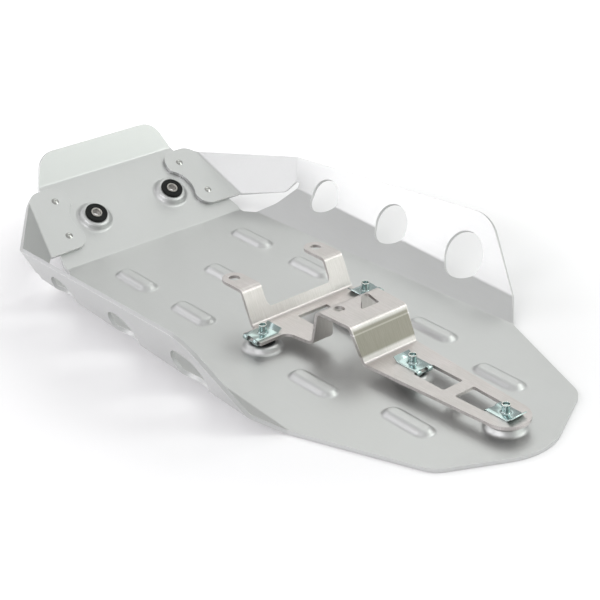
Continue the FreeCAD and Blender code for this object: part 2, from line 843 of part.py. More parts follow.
def bracket_profile():
    arm_end = size("end_bolt_reach") + size("arm_end_radius")
    ear_end = size("ear_hole_reach") - size("ear_width") / 2
    path = [
        Vector(0, ear_end, bracket_top),
        Vector(0, size("ear_bend_reach"), bracket_top),
        Vector(0, size("front_foot_reach"), bracket_base),
        Vector(0, size("hat_front_reach"), bracket_base),
        Vector(0, size("hat_front_reach"), bracket_top),
        Vector(0, size("hat_rear_reach"), bracket_top),
        Vector(0, size("rear_foot_reach"), bracket_base),
        Vector(0, arm_end, bracket_base),
    ]
    points, radii = strip_outline(path, size("bracket_thickness"), size("bracket_bend_radius"))
    return outline_wire(points, radii)


def hat_bend_reach():
    return size("hat_front_reach") + size("bracket_thickness") + size("bracket_bend_radius")


def leg_trim_wire(side):
    # slanted outer edge of one leg of the hat's front wall, narrowing towards the top plate
    reach = size("hat_front_reach")
    foot, top = size("hat_foot_half"), size("hat_front_half")
    points = [
        Vector(side * foot, reach, bracket_base),
        Vector(side * (foot + top), reach, bracket_base),
        Vector(side * (foot + top), reach, bracket_top),
        Vector(side * top, reach, bracket_top),
    ]
    return outline_wire(points, {})


def bracket_plan():
    ear_end = size("ear_hole_reach") - size("ear_width") / 2
    ear_inner = size("ear_half") - size("ear_width") / 2
    ear_outer = size("ear_half") + size("ear_width") / 2
    wing_half = size("wing_half")
    end_radius = size("arm_end_radius")
    arm_end = size("end_bolt_reach") + end_radius
    right = [
        Vector(ear_inner, size("bar_reach"), 0),
        Vector(ear_inner, ear_end, 0),
        Vector(ear_outer, ear_end, 0),
        Vector(ear_outer, size("wing_front_reach"), 0),
        Vector(wing_half, size("wing_front_reach"), 0),
        Vector(wing_half, size("wing_rear_reach"), 0),
        Vector(size("waist_front_half"), size("wing_rear_reach"), 0),
        Vector(size("hat_foot_half"), size("hat_front_reach"), 0),
        Vector(size("hat_foot_half"), size("hat_front_reach") + size("bracket_thickness"), 0),
        Vector(size("hat_front_half"), hat_bend_reach(), 0),
        Vector(size("hat_rear_half"), size("hat_rear_reach"), 0),
        Vector(size("arm_half"), size("rear_foot_reach"), 0),
        Vector(end_radius, size("end_bolt_reach"), 0),
        Vector(end_radius, arm_end, 0),
    ]
    count = len(right)
    ear_round, arm_round = 0.49 * size("ear_width"), 0.99 * end_radius
    corner = size("waist_corner_radius")
    right_radii = {0: corner / 2, 1: ear_round, 2: ear_round, 6: corner, 13: arm_round}
    radii = dict(right_radii)
    for index, radius in right_radii.items():
        radii[2 * count - 1 - index] = radius
    return outline_wire(right + [mirrored(point) for point in reversed(right)], radii)


def slot_wire(slot, front_half, rear_half):
    start, end = size(slot + "_slot_start"), size(slot + "_slot_end")
    points = [
        Vector(-front_half, start, 0),
        Vector(front_half, start, 0),
        Vector(rear_half, end, 0),
        Vector(-rear_half, end, 0),
    ]
    return outline_wire(points, dict.fromkeys(range(4), size("slot_corner_radius")))


def hat_window_wire():
    # tapered window of the top plate, on the left of its bolt hole
    half, tip, rear = size("hat_window_half"), size("hat_window_tip"), size("hat_window_rear")
    front = -half - size("hat_window_lean")
    points = [
        Vector(front, hat_bend_reach(), 0),
        Vector(front + size("hat_window_front"), hat_bend_reach(), 0),
        Vector(tip, rear, 0),
        Vector(-half, rear, 0),
    ]
    return outline_wire(points, dict.fromkeys(range(4), size("slot_corner_radius")))


def add_bracket():
    folded = add_extrusion("bracket_profile", bracket_profile(), Vector(1, 0, 0), "2 * sizes.wing_half")
    tall = "4 * sizes.bracket_rise"
    plan = add_extrusion("bracket_plan", bracket_plan(), Vector(0, 0, 1), tall)
    blank = doc.addObject("Part::Common", "bracket_blank")
    blank.Base = folded
    blank.Tool = plan
    leg_depth = "2 * (sizes.bracket_thickness + sizes.bracket_bend_radius)"
    slot_front, slot_rear = size("slot_half"), size("slot_half") - size("slot_taper")
    cuts = [
        add_extrusion("first_slot", slot_wire("first", slot_front, slot_front), Vector(0, 0, 1), tall),
        add_extrusion("second_slot", slot_wire("second", slot_front, slot_rear), Vector(0, 0, 1), tall),
        add_extrusion("hat_window", hat_window_wire(), Vector(0, 0, 1), tall),
        add_extrusion("leg_trim_right", leg_trim_wire(1), Vector(0, 1, 0), leg_depth),
        add_extrusion("leg_trim_left", leg_trim_wire(-1), Vector(0, 1, 0), leg_depth),
    ]
    window = doc.addObject("Part::Box", "base_window")
    window.setExpression("Length", "2 * sizes.base_window_half")
    window.setExpression(
        "Width",
        "sizes.hat_front_reach + 2 * sizes.bracket_thickness - sizes.base_window_front",
    )
    window.setExpression("Height", "sizes.bracket_rise - sizes.bracket_bend_radius")
    window.setExpression("Placement.Base.x", "-sizes.base_window_half")
    window.setExpression("Placement.Base.y", "sizes.base_window_front")
    window.setExpression("Placement.Base.z", str(bracket_base) + " - 2 * sizes.bracket_thickness")
    cuts.append(window)
    holes = [
        ("ear_hole_right", "sizes.ear_half", "sizes.ear_hole_reach", "sizes.ear_hole_diameter"),
        ("ear_hole_left", "-sizes.ear_half", "sizes.ear_hole_reach", "sizes.ear_hole_diameter"),
        ("hat_hole", "sizes.hat_hole_half", "sizes.hat_hole_reach", "sizes.hat_hole_diameter"),
    ]
    for place in bolt_places:
        x, reach = bolt_expressions[place]
        holes.append(("bolt_hole_" + place, x, reach, "sizes.sleeve_bore"))
    for name, x, reach, diameter in holes:
        hole = add_cylinder(name, diameter + " / 2", tall)
        hole.setExpression("Placement.Base.x", x)
        hole.setExpression("Placement.Base.y", reach)
        cuts.append(hole)
    finished(add_cut("mounting_bracket", blank, add_fuse("bracket_cuts", cuts)), Placement())


bolt_expressions = {
    "front_right": ("sizes.front_bolt_half", "sizes.front_bolt_reach"),
    "front_left": ("-sizes.front_bolt_half", "sizes.front_bolt_reach"),
    "rear": ("0", "sizes.rear_bolt_reach"),
    "end": ("0", "sizes.end_bolt_reach"),
}


# Clip nuts


def clip_profile():
    # side view of the clip: lower leaf, fold round the bracket's edge, upper leaf and raised lip
    thickness, gap = size("clip_thickness"), size("bracket_thickness")
    edge, tail = size("clip_edge_distance") + size("fit_clearance"), size("clip_tail_length")
    lip_angle, lip = angle("clip_lip_angle"), size("clip_lip_length")
    inner, outer = gap / 2, gap / 2 + thickness
    rise = Vector(0, -math.cos(lip_angle), math.sin(lip_angle)) * lip
    up = Vector(0, math.sin(lip_angle), math.cos(lip_angle)) * thickness
    mitre = Vector(0, thickness * math.tan(lip_angle / 2), thickness)
    knee = Vector(0, -tail, 0)
    points = [
        Vector(0, edge, 0),
        knee,
        knee + rise,
        knee + rise + up,
        knee + mitre,
        Vector(0, edge, thickness),
    ]
    upper = [Part.LineSegment(a, b).toShape() for a, b in zip(points, points[1:])]
    outer_fold = Part.Arc(
        Vector(0, edge, thickness),
        Vector(0, edge + outer, -inner),
        Vector(0, edge, -gap - thickness),
    ).toShape()
    lower_points = [
        Vector(0, edge, -gap - thickness),
        Vector(0, -tail, -gap - thickness),
        Vector(0, -tail, -gap),
        Vector(0, edge, -gap),
    ]
    lower = [Part.LineSegment(a, b).toShape() for a, b in zip(lower_points, lower_points[1:])]
    inner_fold = Part.Arc(
        Vector(0, edge, -gap),
        Vector(0, edge + inner, -inner),
        Vector(0, edge, 0),
    ).toShape()
    return Part.Wire(upper + [outer_fold] + lower + [inner_fold])


def add_clip_nut(place, x, reach, turn):
    # the origin is where the bolt's axis meets the bracket's upper face; the fold points along +Y
    name = "clip_nut_" + place
    leaf = add_extrusion(name + "_leaf", clip_profile(), Vector(1, 0, 0), "sizes.clip_width")
    collar = add_cylinder(
        name + "_collar",
        "sizes.clip_collar_diameter / 2",
        "sizes.clip_thickness + sizes.clip_collar_height",
    )
    rim = add_cylinder(
        name + "_rim",
        "sizes.clip_collar_diameter / 2 + sizes.clip_rim_reach",
        "sizes.clip_rim_height",
        "sizes.clip_thickness + sizes.clip_collar_height - sizes.clip_rim_height",
    )
    flare = doc.addObject("Part::Cone", name + "_flare")
    flare.setExpression("Radius1", "sizes.clip_collar_diameter / 2 + sizes.clip_collar_flare")
    flare.setExpression("Radius2", "sizes.clip_collar_diameter / 2")
    flare.setExpression("Height", "sizes.clip_collar_flare")
    flare.setExpression("Placement.Base.z", "sizes.clip_thickness")
    body = add_fuse(name + "_body", [leaf, collar, rim, flare])
    bore = add_cylinder(
        name + "_bore",
        "sizes.bolt_diameter / 2 + sizes.thread_clearance",
        "2 * sizes.clip_thickness + sizes.bracket_thickness + sizes.clip_collar_height",
        "-sizes.bracket_thickness - sizes.clip_thickness",
    )
    window = doc.addObject("Part::Box", name + "_window")
    window.setExpression("Length", "sizes.clip_fold_window")
    window.setExpression("Width", "2 * sizes.bracket_thickness + sizes.clip_thickness")
    window.setExpression("Height", "sizes.bracket_thickness + 4 * sizes.clip_thickness")
    window.setExpression("Placement.Base.x", "-sizes.clip_fold_window / 2")
    window.setExpression("Placement.Base.y", "sizes.clip_edge_distance + sizes.fit_clearance")
    window.setExpression("Placement.Base.z", "-sizes.bracket_thickness - 2 * sizes.clip_thickness")
    nut = add_cut(name, body, add_fuse(name + "_openings", [bore, window]))
    placement = Placement(Vector(x, reach, bracket_base), Rotation(Vector(0, 0, 1), turn))
    finished(nut, placement)


# Assembly

finished(plate, Placement())
add_bracket()
for place, placement in seat_placements.items():
    add_grommet(place, placement)
    add_sleeve(place, placement)
clip_turns = {"front_right": -90, "front_left": 90, "rear": 0, "end": 180}
for place, (x, reach) in bolt_places.items():
    add_bolt(place, seat_placements[place])
    add_clip_nut(place, x, reach, clip_turns[place])
for place, placement in rivet_placements.items():
    add_rivet(place, placement)
doc.recompute()

for item in doc.Objects:
    if "Invalid" in item.State or "Error" in item.State:
        raise RuntimeError(f"{item.Label} did not compute")
for piece in sub_parts:
    if piece.Shape.isNull() or not piece.Shape.isValid():
        raise RuntimeError(f"{piece.Label} has no valid shape")

os.makedirs("parts", exist_ok=True)
for piece in sub_parts:
    piece.Shape.exportStep(f"parts/{piece.Label}.step")
    print(f"{piece.Label}: {len(piece.Shape.Solids)} solid, {piece.Shape.Volume:.0f} mm3")
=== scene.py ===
import bmesh
import bpy
import json
import math
from mathutils import Matrix, Vector


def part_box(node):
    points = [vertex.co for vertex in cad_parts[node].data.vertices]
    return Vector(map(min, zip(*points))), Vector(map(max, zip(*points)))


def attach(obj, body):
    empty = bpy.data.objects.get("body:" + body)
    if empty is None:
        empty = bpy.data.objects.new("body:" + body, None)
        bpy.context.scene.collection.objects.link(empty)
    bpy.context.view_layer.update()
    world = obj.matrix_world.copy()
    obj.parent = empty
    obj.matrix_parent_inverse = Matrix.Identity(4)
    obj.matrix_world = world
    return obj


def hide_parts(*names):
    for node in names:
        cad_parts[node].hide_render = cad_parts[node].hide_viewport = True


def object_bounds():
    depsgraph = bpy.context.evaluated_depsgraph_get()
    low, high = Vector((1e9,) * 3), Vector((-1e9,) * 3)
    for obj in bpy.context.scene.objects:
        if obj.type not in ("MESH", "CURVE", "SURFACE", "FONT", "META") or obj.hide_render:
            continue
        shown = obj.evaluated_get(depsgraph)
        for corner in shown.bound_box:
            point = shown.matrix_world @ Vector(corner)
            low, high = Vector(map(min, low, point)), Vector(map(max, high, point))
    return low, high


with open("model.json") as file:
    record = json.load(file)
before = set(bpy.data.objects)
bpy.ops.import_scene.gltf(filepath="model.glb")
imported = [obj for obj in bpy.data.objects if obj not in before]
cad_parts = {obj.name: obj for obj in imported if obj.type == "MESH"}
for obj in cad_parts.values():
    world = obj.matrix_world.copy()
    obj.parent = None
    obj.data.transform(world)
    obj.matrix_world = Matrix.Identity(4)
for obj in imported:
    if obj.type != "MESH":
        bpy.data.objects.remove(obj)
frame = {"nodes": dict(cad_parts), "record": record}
cadLow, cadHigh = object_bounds()
nodes = frame["nodes"]
mounts = {mount["name"]: mount for mount in frame["record"]["mounts"]}
mm = 0.001
slack = 0.05  # mm of room where corners are picked by their place
weldGap = 1e-6  # metres between loose copies of one corner
seamGap = 1e-7  # the same on a turned outline's seam and poles
up = Vector((0.0, 0.0, 1.0))
print("frame loaded:", len(nodes), "nodes")


# nodes of a material or group, wired by socket name
def addNode(tree, kind, **settings):
    node = tree.nodes.new(kind)
    for key, value in settings.items():
        setattr(node, key, value)
    return node


def wire(tree, source, output, target, socket):
    tree.links.new(source.outputs[output], target.inputs[socket])


def setInputs(node, values):
    for key, value in values.items():
        node.inputs[key].default_value = value


def newMaterial(name):
    material = bpy.data.materials.new(name)
    material.use_nodes = True
    tree = material.node_tree
    return material, tree, tree.nodes["Principled BSDF"]


def newGroup(name, inputs, outputs):
    group = bpy.data.node_groups.new(name, "ShaderNodeTree")
    for socketName, socketType, value in inputs:
        socket = group.interface.new_socket(socketName, in_out="INPUT", socket_type=socketType)
        socket.default_value = value
    for socketName, socketType in outputs:
        group.interface.new_socket(socketName, in_out="OUTPUT", socket_type=socketType)
    return group, addNode(group, "NodeGroupInput"), addNode(group, "NodeGroupOutput")


def placeGroup(tree, group, values):
    node = addNode(tree, "ShaderNodeGroup", node_tree=group)
    setInputs(node, values)
    return node


middleTone = 0.5  # mean of a noise mask


# streaks left by the rolling mill and the brush: noise pulled out along one axis
def makeStreaks():
    inputs = [
        ("Across", "NodeSocketVector", (900.0, 20.0, 900.0)),
        ("Contrast", "NodeSocketFloat", 1.0),
    ]
    group, start, end = newGroup("streaks", inputs, [("Mask", "NodeSocketFloat")])
    coords = addNode(group, "ShaderNodeTexCoord")
    stretch = addNode(group, "ShaderNodeVectorMath", operation="MULTIPLY")
    noise = addNode(group, "ShaderNodeTexNoise")
    spread = addNode(group, "ShaderNodeMapRange")
    half = addNode(group, "ShaderNodeMath", operation="MULTIPLY")
    low = addNode(group, "ShaderNodeMath", operation="SUBTRACT")
    high = addNode(group, "ShaderNodeMath", operation="ADD")
    setInputs(noise, {"Scale": 1.0, "Detail": 3.0, "Roughness": 0.6})
    setInputs(half, {1: 0.5})
    setInputs(low, {0: middleTone})
    setInputs(high, {0: middleTone})
    wire(group, coords, "Object", stretch, 0)
    wire(group, start, "Across", stretch, 1)
    wire(group, stretch, 0, noise, "Vector")
    wire(group, start, "Contrast", half, 0)
    wire(group, half, 0, low, 1)
    wire(group, half, 0, high, 1)
    wire(group, noise, 0, spread, "Value")
    wire(group, low, 0, spread, "To Min")
    wire(group, high, 0, spread, "To Max")
    wire(group, spread, 0, end, "Mask")
    return group


# fine blasted or cast skin: small even pits
def makePits():
    inputs = [("Size", "NodeSocketFloat", 900.0), ("Softness", "NodeSocketFloat", 0.5)]
    group, start, end = newGroup("pits", inputs, [("Mask", "NodeSocketFloat")])
    coords = addNode(group, "ShaderNodeTexCoord")
    noise = addNode(group, "ShaderNodeTexNoise")
    setInputs(noise, {"Detail": 2.0})
    wire(group, coords, "Object", noise, "Vector")
    wire(group, start, "Size", noise, "Scale")
    wire(group, start, "Softness", noise, "Roughness")
    wire(group, noise, 0, end, "Mask")
    return group


# broad uneven patches from handling and storage
def makePatches():
    inputs = [("Size", "NodeSocketFloat", 12.0), ("Edge", "NodeSocketFloat", 0.25)]
    group, start, end = newGroup("patches", inputs, [("Mask", "NodeSocketFloat")])
    coords = addNode(group, "ShaderNodeTexCoord")
    noise = addNode(group, "ShaderNodeTexNoise")
    low = addNode(group, "ShaderNodeMath", operation="SUBTRACT")
    high = addNode(group, "ShaderNodeMath", operation="ADD")
    spread = addNode(group, "ShaderNodeMapRange", interpolation_type="SMOOTHSTEP")
    setInputs(noise, {"Detail": 4.0, "Roughness": 0.55, "Distortion": 0.6})
    setInputs(low, {0: middleTone})
    setInputs(high, {0: middleTone})
    wire(group, coords, "Object", noise, "Vector")
    wire(group, start, "Size", noise, "Scale")
    wire(group, start, "Edge", low, 1)
    wire(group, start, "Edge", high, 1)
    wire(group, noise, 0, spread, "Value")
    wire(group, low, 0, spread, "From Min")
    wire(group, high, 0, spread, "From Max")
    wire(group, spread, 0, end, "Mask")
    return group


streaks = makeStreaks()
pits = makePits()
patches = makePatches()
print("shared finishes ready")

plainWhite = (1.0, 1.0, 1.0)


def blendColours(tree, mask, output, first, second):
    mix = addNode(tree, "ShaderNodeMix", data_type="RGBA")
    mix.inputs["A"].default_value = (*first, 1.0)
    mix.inputs["B"].default_value = (*second, 1.0)
    wire(tree, mask, output, mix, "Factor")
    return mix


def multiplyColours(tree, first, second):
    mix = addNode(tree, "ShaderNodeMix", data_type="RGBA", blend_type="MULTIPLY")
    mix.inputs["Factor"].default_value = 1.0
    wire(tree, first, "Result", mix, "A")
    wire(tree, second, "Result", mix, "B")
    return mix


def spreadValue(tree, mask, output, low, high):
    spread = addNode(tree, "ShaderNodeMapRange")
    setInputs(spread, {"To Min": low, "To Max": high})
    wire(tree, mask, output, spread, "Value")
    return spread


# a mask times a factor, added to a base value
def addScaled(tree, mask, output, factor, base, baseOutput):
    total = addNode(tree, "ShaderNodeMath", operation="MULTIPLY_ADD")
    total.inputs[1].default_value = factor
    wire(tree, mask, output, total, 0)
    wire(tree, base, baseOutput, total, 2)
    return total


def addBump(tree, source, output, look, shader):
    bump = addNode(tree, "ShaderNodeBump")
    setInputs(bump, {"Strength": look["bump"], "Distance": look["bumpDepth"]})
    wire(tree, source, output, bump, "Height")
    wire(tree, bump, 0, shader, "Normal")


# one metal finish: two tones by patches, streaked roughness, pitted bump, and rims lightened as a
# painted highlight
def metalFinish(name, look):
    material, tree, shader = newMaterial(name)
    shader.inputs["Metallic"].default_value = look["metallic"]
    tone = placeGroup(tree, patches, {"Size": look["patchSize"], "Edge": look["patchEdge"]})
    grain = placeGroup(tree, streaks, {
        "Across": look["streakScale"],
        "Contrast": look["streakContrast"],
    })
    skin = placeGroup(tree, pits, {"Size": look["pitSize"]})
    rim = addNode(tree, "ShaderNodeAttribute", attribute_name="rim")
    colour = blendColours(tree, tone, "Mask", look["colour"], look["patchColour"])
    streakTone = blendColours(tree, grain, "Mask", look["streakDark"], plainWhite)
    streaked = multiplyColours(tree, colour, streakTone)
    # the rim mark blends the colour toward a lighter one: a painted highlight on rounded edges and
    # raised cut faces
    rimHighlighted = addNode(tree, "ShaderNodeMix", data_type="RGBA")
    rimHighlighted.inputs["B"].default_value = (*look["rimColour"], 1.0)
    wire(tree, rim, "Fac", rimHighlighted, "Factor")
    wire(tree, streaked, "Result", rimHighlighted, "A")
    wire(tree, rimHighlighted, "Result", shader, "Base Color")
    gloss = spreadValue(tree, grain, "Mask", look["roughLow"], look["roughHigh"])
    worn = addScaled(tree, tone, "Mask", look["patchRough"], gloss, 0)
    polished = addScaled(tree, rim, "Fac", -look["rimPolish"], worn, 0)
    wire(tree, polished, 0, shader, "Roughness")
    height = addScaled(tree, grain, "Mask", look["streakHeight"], skin, "Mask")
    addBump(tree, height, 0, look, shader)
    return material


satinAluminium = metalFinish("satinAluminium", {
    "metallic": 0.95,
    "colour": (0.625, 0.63, 0.625),
    "patchColour": (0.655, 0.66, 0.657),
    "patchSize": 9.0,
    "patchEdge": 0.3,
    "streakScale": (1400.0, 60.0, 1400.0),
    "streakContrast": 1.0,
    "streakDark": (0.93, 0.93, 0.93),
    "rimColour": (0.96, 0.96, 0.965),
    "rimPolish": 0.2,
    "roughLow": 0.38,
    "roughHigh": 0.46,
    "patchRough": 0.05,
    "pitSize": 2600.0,
    "streakHeight": 0.5,
    "bump": 0.25,
    "bumpDepth": 0.0004,
})
brushedSteel = metalFinish("brushedSteel", {
    "metallic": 1.0,
    "colour": (0.725, 0.685, 0.68),
    "patchColour": (0.68, 0.655, 0.64),
    "patchSize": 30.0,
    "patchEdge": 0.25,
    "streakScale": (2600.0, 90.0, 90.0),
    "streakContrast": 2.0,
    "streakDark": (0.77, 0.755, 0.74),
    "rimColour": (0.88, 0.87, 0.86),
    "rimPolish": 0.1,
    "roughLow": 0.26,
    "roughHigh": 0.42,
    "patchRough": 0.06,
    "pitSize": 3000.0,
    "streakHeight": 1.2,
    "bump": 0.25,
    "bumpDepth": 0.0003,
})
zincPlate = metalFinish("zincPlate", {
    "metallic": 1.0,
    "colour": (0.42, 0.525, 0.52),
    "patchColour": (0.455, 0.54, 0.525),
    "patchSize": 120.0,
    "patchEdge": 0.3,
    "streakScale": (500.0, 500.0, 500.0),
    "streakContrast": 0.8,
    "streakDark": (0.92, 0.93, 0.94),
    "rimColour": (0.80, 0.81, 0.77),
    "rimPolish": 0.0,
    "roughLow": 0.12,
    "roughHigh": 0.20,
    "patchRough": 0.04,
    "pitSize": 1500.0,
    "streakHeight": 0.3,
    "bump": 0.05,
    "bumpDepth": 0.0002,
})
rivetAluminium = metalFinish("rivetAluminium", {
    "metallic": 1.0,
    "colour": (0.52, 0.525, 0.51),
    "patchColour": (0.60, 0.60, 0.58),
    "patchSize": 300.0,
    "patchEdge": 0.3,
    "streakScale": (900.0, 900.0, 900.0),
    "streakContrast": 1.0,
    "streakDark": (0.86, 0.86, 0.85),
    "rimColour": (0.8, 0.8, 0.79),
    "rimPolish": 0.0,
    "roughLow": 0.14,
    "roughHigh": 0.24,
    "patchRough": 0.04,
    "pitSize": 2600.0,
    "streakHeight": 0.4,
    "bump": 0.1,
    "bumpDepth": 0.0002,
})
turnedSteel = metalFinish("turnedSteel", {
    "metallic": 1.0,
    "colour": (0.50, 0.48, 0.45),
    "patchColour": (0.40, 0.39, 0.37),
    "patchSize": 220.0,
    "patchEdge": 0.25,
    "streakScale": (500.0, 500.0, 4500.0),
    "streakContrast": 1.2,
    "streakDark": (0.8, 0.79, 0.77),
    "rimColour": (0.66, 0.65, 0.62),
    "rimPolish": 0.0,
    "roughLow": 0.24,
    "roughHigh": 0.40,
    "patchRough": 0.05,
    "pitSize": 3000.0,
    "streakHeight": 0.8,
    "bump": 0.2,
    "bumpDepth": 0.0003,
})


# moulded rubber: nearly black, dull, with a fine mould grain and dusty patches
def makeRubber(look):
    material, tree, shader = newMaterial("mouldedRubber")
    setInputs(shader, {"Metallic": 0.0, "Specular IOR Level": look["gloss"]})
    dust = placeGroup(tree, patches, {"Size": look["dustSize"], "Edge": look["dustEdge"]})
    skin = placeGroup(tree, pits, {"Size": look["grainSize"]})
    colour = blendColours(tree, dust, "Mask", look["colour"], look["dustColour"])
    wire(tree, colour, "Result", shader, "Base Color")
    rough = spreadValue(tree, skin, "Mask", look["roughLow"], look["roughHigh"])
    wire(tree, rough, 0, shader, "Roughness")
    addBump(tree, skin, "Mask", look, shader)
    return material


mouldedRubber = makeRubber({
    "colour": (0.006, 0.007, 0.0065),
    "dustColour": (0.011, 0.012, 0.0115),
    "dustSize": 180.0,
    "dustEdge": 0.2,
    "grainSize": 3200.0,
    "roughLow": 0.46,
    "roughHigh": 0.66,
    "gloss": 0.2,
    "bump": 0.3,
    "bumpDepth": 0.0003,
})


# painted shade and a painted highlight on the bracket's rear web: a darker olive field between the
# bends, where the web turns away from the lamps, and one fine tool line drawn as a painted highlight
webShadeAndLine = {
    "rear": 97.5 * mm,
    "low": 17.8 * mm,
    "high": 35.2 * mm,
    "side": 26.2 * mm,
    "soft": 1.2 * mm,
    "tone": (0.44, 0.438, 0.385),
    "line": 32.4 * mm,
    "lineHalf": 0.35 * mm,
    "lineTone": (1.42, 1.43, 1.48),
}


def stepMask(tree, source, output, begin, end):
    mask = addNode(tree, "ShaderNodeMapRange", interpolation_type="SMOOTHSTEP")
    setInputs(mask, {"From Min": begin, "From Max": end})
    wire(tree, source, output, mask, "Value")
    return mask


def productOf(tree, first, second):
    product = addNode(tree, "ShaderNodeMath", operation="MULTIPLY")
    wire(tree, first, 0, product, 0)
    wire(tree, second, 0, product, 1)
    return product


# darkens the web's middle field as painted shade, and lightens the tool line as a painted highlight
def paintWebShadeAndLine(material, marks):
    tree = material.node_tree
    shader = tree.nodes["Principled BSDF"]
    painted = shader.inputs["Base Color"].links[0].from_node
    coords = addNode(tree, "ShaderNodeTexCoord")
    place = addNode(tree, "ShaderNodeSeparateXYZ")
    wire(tree, coords, "Object", place, 0)
    soft, line, half = marks["soft"], marks["line"], marks["lineHalf"]
    rear = stepMask(tree, place, "Y", marks["rear"], marks["rear"] + soft)
    above = stepMask(tree, place, "Z", marks["low"] - soft, marks["low"] + soft)
    below = stepMask(tree, place, "Z", marks["high"] + soft, marks["high"] - soft)
    across = addNode(tree, "ShaderNodeMath", operation="ABSOLUTE")
    wire(tree, place, "X", across, 0)
    inside = stepMask(tree, across, 0, marks["side"] + soft, marks["side"])
    shadeField = productOf(tree, productOf(tree, rear, inside), productOf(tree, above, below))
    under = stepMask(tree, place, "Z", line - 2 * half, line - half)
    over = stepMask(tree, place, "Z", line + 2 * half, line + half)
    lineHighlightMask = productOf(tree, rear, productOf(tree, under, over))
    # the field's darker tone is painted shade; the line's lighter tone is a painted highlight
    tint = blendColours(tree, shadeField, 0, plainWhite, marks["tone"])
    lineHighlighted = addNode(tree, "ShaderNodeMix", data_type="RGBA", blend_type="MULTIPLY")
    lineHighlighted.inputs["B"].default_value = (*marks["lineTone"], 1.0)
    wire(tree, lineHighlightMask, 0, lineHighlighted, "Factor")
    wire(tree, tint, "Result", lineHighlighted, "A")
    webShaded = multiplyColours(tree, painted, lineHighlighted)
    wire(tree, webShaded, "Result", shader, "Base Color")


paintWebShadeAndLine(brushedSteel, webShadeAndLine)
print("materials ready")


def addObject(name, data):
    added = bpy.data.objects.new(name, data)
    bpy.context.scene.collection.objects.link(added)
    return added


# turns a bmesh into a piece of the root body, with its finish
def makePiece(name, bm, material, replaced, smoothAngle):
    bmesh.ops.recalc_face_normals(bm, faces=bm.faces)
    mesh = bpy.data.meshes.new(name)
    bm.to_mesh(mesh)
    bm.free()
    for face in mesh.polygons:
        face.use_smooth = True
    mesh.set_sharp_from_angle(angle=math.radians(smoothAngle))
    mesh.materials.append(material)
    piece = addObject(name, mesh)
    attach(piece, "root")
    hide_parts(replaced)
    return piece


# flat faces keep an even shade right up to their rounded rims
def evenFaces(piece):
    shading = piece.modifiers.new("evenFaces", "WEIGHTED_NORMAL")
    shading.keep_sharp = True


def mergedCopy(nodeName):
    bm = bmesh.new()
    bm.from_mesh(nodes[nodeName].data)
    bmesh.ops.remove_doubles(bm, verts=bm.verts, dist=weldGap)
    return bm


# a sheet's cut face: a narrow strip between two rounded rims, given a painted highlight where it stands
# high
def isCutFace(face, bevelled, rounding):
    around = face.calc_perimeter()
    if 2 * face.calc_area() > rounding["cutWidth"] * around:
        return False
    if face.calc_center_median().z < rounding["brightAbove"]:
        return False
    beside = 0.0
    for edge in face.edges:
        if any(other in bevelled for other in edge.link_faces):
            beside += edge.calc_length()
    return beside > rounding["cutShare"] * around


# rounds the sharp corners of a copied sheet and marks the rounded rims for a painted highlight, with
# one strength above a set height and another below it
def roundCorners(bm, rounding):
    bmesh.ops.dissolve_limit(
        bm,
        angle_limit=math.radians(rounding["flatAngle"]),
        use_dissolve_boundaries=False,
        verts=bm.verts,
        edges=bm.edges,
    )
    sharpAngle = math.radians(rounding["cornerAngle"])
    corners = [edge for edge in bm.edges if edge.is_manifold and edge.calc_face_angle(0.0) > sharpAngle]
    rim = bm.faces.layers.float.new("rim")
    made = bmesh.ops.bevel(
        bm,
        geom=corners,
        offset=rounding["radius"],
        offset_type="OFFSET",
        affect="EDGES",
        segments=rounding["segments"],
        profile=0.5,
        material=-1,
        clamp_overlap=True,
    )
    bevelled = set(made["faces"])
    for face in bevelled:
        raised = face.calc_center_median().z > rounding["brightAbove"]
        face[rim] = rounding["rimMark"] if raised else rounding["lowMark"]
    for face in bm.faces:
        if face not in bevelled and isCutFace(face, bevelled, rounding):
            face[rim] = rounding["rimMark"]


# what the sheets' rims have in common, with angles in degrees
sheetRounding = {
    "flatAngle": 0.4,
    "cornerAngle": 40.0,
    "smoothAngle": 35.0,
    "segments": 2,
    "cutShare": 0.6,
}
# the plate's rims above 12 mm get a strong painted highlight, and the lower ones a faint one
plateRounding = {
    **sheetRounding,
    "radius": 0.4 * mm,
    "rimMark": 0.7,
    "lowMark": 0.15,
    "cutWidth": 2.4 * mm,
    "brightAbove": 12.0 * mm,
}
plateMesh = mergedCopy("guard_plate")
roundCorners(plateMesh, plateRounding)
for vert in plateMesh.verts:
    vert.co.z = max(vert.co.z, cadLow.z)  # no rim dips below the underside
plateSmooth = plateRounding["smoothAngle"]
plate = makePiece("guardPlate", plateMesh, satinAluminium, "guard_plate", plateSmooth)
evenFaces(plate)
print("plate done")

# the bracket's rounded rims all get the same painted highlight
bracketRounding = {
    **sheetRounding,
    "radius": 0.25 * mm,
    "rimMark": 0.6,
    "lowMark": 0.6,
    "cutWidth": 2.2 * mm,
    "brightAbove": 60.0 * mm,  # above the whole bracket, so its cut faces stay plain
}
bracketMesh = mergedCopy("mounting_bracket")
roundCorners(bracketMesh, bracketRounding)
bracketSmooth = bracketRounding["smoothAngle"]
bracket = makePiece(
    "mountingBracket", bracketMesh, brushedSteel, "mounting_bracket", bracketSmooth
)
evenFaces(bracket)
print("bracket done")

curveShares = (0.0, 0.33, 0.67, 1.0)


